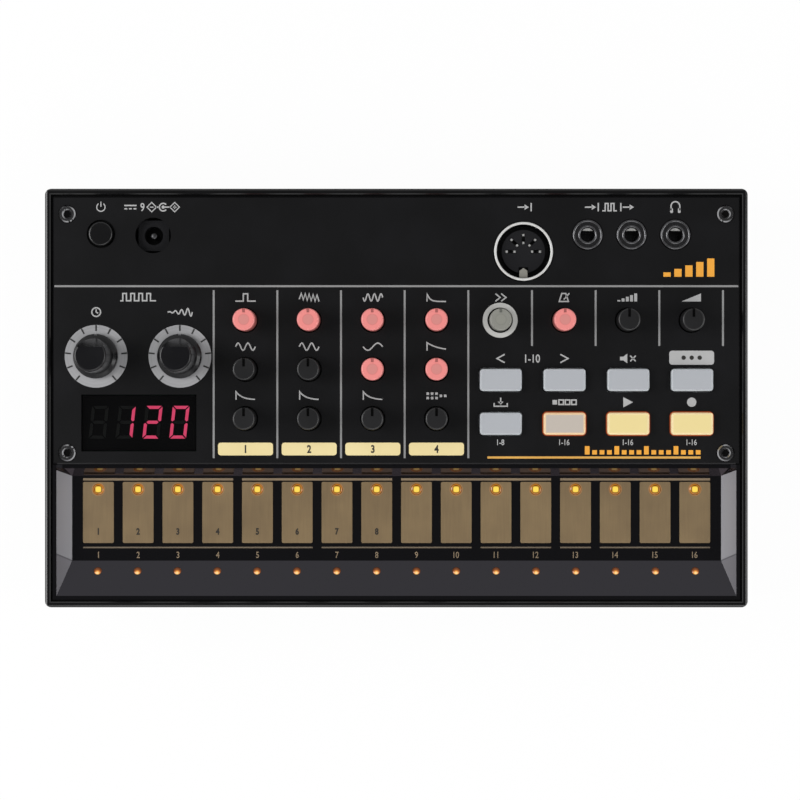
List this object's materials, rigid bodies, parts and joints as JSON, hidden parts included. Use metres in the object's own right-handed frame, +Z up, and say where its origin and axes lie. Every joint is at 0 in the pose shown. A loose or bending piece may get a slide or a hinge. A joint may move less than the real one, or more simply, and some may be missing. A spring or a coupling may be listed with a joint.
{
  "type": "drum synthesizer",
  "caption": "Compact black desktop drum synthesizer with turning dials, push buttons, a digit display, plug sockets and a sunken row of lit touch pads.",
  "frame": {"origin": "middle of the footprint, on the surface that the feet stand on", "axes": "+X to the right along the long side, +Y to the back edge with the sockets, +Z up out of the panel"},
  "size_m": [0.193, 0.115, 0.045],
  "materials": {
    "case_black": "fine matt moulded plastic",
    "panel_black": "satin black painted plate",
    "screw_steel": "dark plated steel",
    "rubber_black": "matt",
    "tray_grey": "glossy dark moulded plastic",
    "board_green": "green solder mask on laminate",
    "pad_bronze": "satin bronze",
    "led_amber": "clear amber, lit",
    "lens_amber": "clear amber",
    "cable_grey": "flat cable jacket",
    "pot_blue": "moulded housing",
    "pot_grey": "moulded housing",
    "scale_silver": "satin, with dark ticks",
    "ring_milky": "milky light guide",
    "switch_black": "moulded housing",
    "window_smoke": "smoked dark red",
    "module_black": "dark housing",
    "segment_red": "lit segments",
    "socket_black": "glossy black",
    "shell_chrome": "bright plated",
    "contact_silver": "bright plated spring metal",
    "speaker_grey": "pressed steel basket",
    "cone_black": "coated paper cone",
    "dial_pink": "translucent, lit from below",
    "dial_grey": "translucent",
    "dial_black": "soft-touch black",
    "knob_black": "satin black",
    "shaft_steel": "turned",
    "power_black": "satin black",
    "button_grey": "soft light grey",
    "button_beige": "soft beige, lit rim",
    "button_cream": "translucent cream, lit from below"
  },
  "bodies": {
    "casing": {"bottom_case": "case_black", "top_case": "case_black", "control_panel": "panel_black", "panel_screws": "screw_steel", "case_screws": "screw_steel", "rubber_feet": "rubber_black", "key_tray": "tray_grey", "touch_board": "board_green", "step_pads": "pad_bronze", "step_leds": "led_amber", "step_lenses": "lens_amber", "main_board": "board_green", "ribbon_cable": "cable_grey", "small_pots": "pot_blue", "big_pots": "pot_grey", "scale_rings": "scale_silver", "speed_ring": "ring_milky", "tact_switches": "switch_black", "display_window": "window_smoke", "display_module": "module_black", "display_segments": "segment_red", "dc_jack": "socket_black", "din_shell": "shell_chrome", "din_insert": "socket_black", "din_contacts": "contact_silver", "audio_jacks": "socket_black", "speaker_frame": "speaker_grey", "speaker_cone": "cone_black", "battery_contacts": "contact_silver"},
    "battery_door": {"battery_door": "case_black"},
    "time_dial": {"time_knob": "knob_black", "time_shaft": "shaft_steel"},
    "depth_dial": {"depth_knob": "knob_black", "depth_shaft": "shaft_steel"},
    "power_button": {"power_button": "power_black"},
    "kick_click_dial": {"kick_click_dial": "dial_pink"},
    "kick_pitch_dial": {"kick_pitch_dial": "dial_black"},
    "kick_decay_dial": {"kick_decay_dial": "dial_black"},
    "snare_snap_dial": {"snare_snap_dial": "dial_pink"},
    "snare_pitch_dial": {"snare_pitch_dial": "dial_black"},
    "snare_decay_dial": {"snare_decay_dial": "dial_black"},
    "high_tom_dial": {"high_tom_dial": "dial_pink"},
    "low_tom_dial": {"low_tom_dial": "dial_pink"},
    "tom_decay_dial": {"tom_decay_dial": "dial_black"},
    "closed_hat_dial": {"closed_hat_dial": "dial_pink"},
    "open_hat_dial": {"open_hat_dial": "dial_pink"},
    "hat_grain_dial": {"hat_grain_dial": "dial_black"},
    "sample_speed_dial": {"sample_speed_dial": "dial_grey"},
    "tempo_dial": {"tempo_dial": "dial_pink"},
    "level_dial": {"level_dial": "dial_black"},
    "volume_dial": {"volume_dial": "dial_black"},
    "back_button": {"back_button": "button_grey"},
    "next_button": {"next_button": "button_grey"},
    "mute_button": {"mute_button": "button_grey"},
    "shift_button": {"shift_button": "button_grey"},
    "memory_button": {"memory_button": "button_grey"},
    "step_mode_button": {"step_mode_button": "button_beige"},
    "play_button": {"play_button": "button_cream"},
    "record_button": {"record_button": "button_cream"}
  },
  "joints": [
    {"name": "battery_door_hinge", "type": "hinge", "parent": "casing", "child": "battery_door", "pos_m": [-0.031, -0.02275, 0.00295], "axis": [-1, 0, 0], "range_deg": [0, 75]},
    {"name": "time_dial_turn", "type": "hinge", "parent": "casing", "child": "time_dial", "pos_m": [-0.0824, 0.01145, 0.032], "axis": [0, 0, -1], "range_deg": [-140, 140]},
    {"name": "depth_dial_turn", "type": "hinge", "parent": "casing", "child": "depth_dial", "pos_m": [-0.0594, 0.01145, 0.032], "axis": [0, 0, -1], "range_deg": [-140, 140]},
    {"name": "kick_click_dial_turn", "type": "hinge", "parent": "casing", "child": "kick_click_dial", "pos_m": [-0.04141, 0.02135, 0.032], "axis": [0, 0, -1], "range_deg": [-140, 140]},
    {"name": "kick_pitch_dial_turn", "type": "hinge", "parent": "casing", "child": "kick_pitch_dial", "pos_m": [-0.04141, 0.00785, 0.032], "axis": [0, 0, -1], "range_deg": [-140, 140]},
    {"name": "kick_decay_dial_turn", "type": "hinge", "parent": "casing", "child": "kick_decay_dial", "pos_m": [-0.04141, -0.00565, 0.032], "axis": [0, 0, -1], "range_deg": [-140, 140]},
    {"name": "snare_snap_dial_turn", "type": "hinge", "parent": "casing", "child": "snare_snap_dial", "pos_m": [-0.02394, 0.02135, 0.032], "axis": [0, 0, -1], "range_deg": [-140, 140]},
    {"name": "snare_pitch_dial_turn", "type": "hinge", "parent": "casing", "child": "snare_pitch_dial", "pos_m": [-0.02394, 0.00785, 0.032], "axis": [0, 0, -1], "range_deg": [-140, 140]},
    {"name": "snare_decay_dial_turn", "type": "hinge", "parent": "casing", "child": "snare_decay_dial", "pos_m": [-0.02394, -0.00565, 0.032], "axis": [0, 0, -1], "range_deg": [-140, 140]},
    {"name": "high_tom_dial_turn", "type": "hinge", "parent": "casing", "child": "high_tom_dial", "pos_m": [-0.00646, 0.02135, 0.032], "axis": [0, 0, -1], "range_deg": [-140, 140]},
    {"name": "low_tom_dial_turn", "type": "hinge", "parent": "casing", "child": "low_tom_dial", "pos_m": [-0.00646, 0.00785, 0.032], "axis": [0, 0, -1], "range_deg": [-140, 140]},
    {"name": "tom_decay_dial_turn", "type": "hinge", "parent": "casing", "child": "tom_decay_dial", "pos_m": [-0.00646, -0.00565, 0.032], "axis": [0, 0, -1], "range_deg": [-140, 140]},
    {"name": "closed_hat_dial_turn", "type": "hinge", "parent": "casing", "child": "closed_hat_dial", "pos_m": [0.01101, 0.02135, 0.032], "axis": [0, 0, -1], "range_deg": [-140, 140]},
    {"name": "open_hat_dial_turn", "type": "hinge", "parent": "casing", "child": "open_hat_dial", "pos_m": [0.01101, 0.00785, 0.032], "axis": [0, 0, -1], "range_deg": [-140, 140]},
    {"name": "hat_grain_dial_turn", "type": "hinge", "parent": "casing", "child": "hat_grain_dial", "pos_m": [0.01101, -0.00565, 0.032], "axis": [0, 0, -1], "range_deg": [-140, 140]},
    {"name": "sample_speed_dial_turn", "type": "hinge", "parent": "casing", "child": "sample_speed_dial", "pos_m": [0.02849, 0.02135, 0.032], "axis": [0, 0, -1], "range_deg": [-140, 140]},
    {"name": "tempo_dial_turn", "type": "hinge", "parent": "casing", "child": "tempo_dial", "pos_m": [0.04596, 0.02135, 0.032], "axis": [0, 0, -1], "range_deg": [-140, 140]},
    {"name": "level_dial_turn", "type": "hinge", "parent": "casing", "child": "level_dial", "pos_m": [0.06344, 0.02135, 0.032], "axis": [0, 0, -1], "range_deg": [-140, 140]},
    {"name": "volume_dial_turn", "type": "hinge", "parent": "casing", "child": "volume_dial", "pos_m": [0.08091, 0.02135, 0.032], "axis": [0, 0, -1], "range_deg": [-140, 140]},
    {"name": "back_button_press", "type": "slide", "parent": "casing", "child": "back_button", "axis": [0, 0, -1], "range_m": [0, 0.0008], "stiffness_N_per_m": 800},
    {"name": "next_button_press", "type": "slide", "parent": "casing", "child": "next_button", "axis": [0, 0, -1], "range_m": [0, 0.0008], "stiffness_N_per_m": 800},
    {"name": "mute_button_press", "type": "slide", "parent": "casing", "child": "mute_button", "axis": [0, 0, -1], "range_m": [0, 0.0008], "stiffness_N_per_m": 800},
    {"name": "shift_button_press", "type": "slide", "parent": "casing", "child": "shift_button", "axis": [0, 0, -1], "range_m": [0, 0.0008], "stiffness_N_per_m": 800},
    {"name": "memory_button_press", "type": "slide", "parent": "casing", "child": "memory_button", "axis": [0, 0, -1], "range_m": [0, 0.0008], "stiffness_N_per_m": 800},
    {"name": "step_mode_button_press", "type": "slide", "parent": "casing", "child": "step_mode_button", "axis": [0, 0, -1], "range_m": [0, 0.0008], "stiffness_N_per_m": 800},
    {"name": "play_button_press", "type": "slide", "parent": "casing", "child": "play_button", "axis": [0, 0, -1], "range_m": [0, 0.0008], "stiffness_N_per_m": 800},
    {"name": "record_button_press", "type": "slide", "parent": "casing", "child": "record_button", "axis": [0, 0, -1], "range_m": [0, 0.0008], "stiffness_N_per_m": 800},
    {"name": "power_button_press", "type": "slide", "parent": "casing", "child": "power_button", "axis": [0, 0, -1], "range_m": [0, 0.0008], "stiffness_N_per_m": 800}
  ]
}
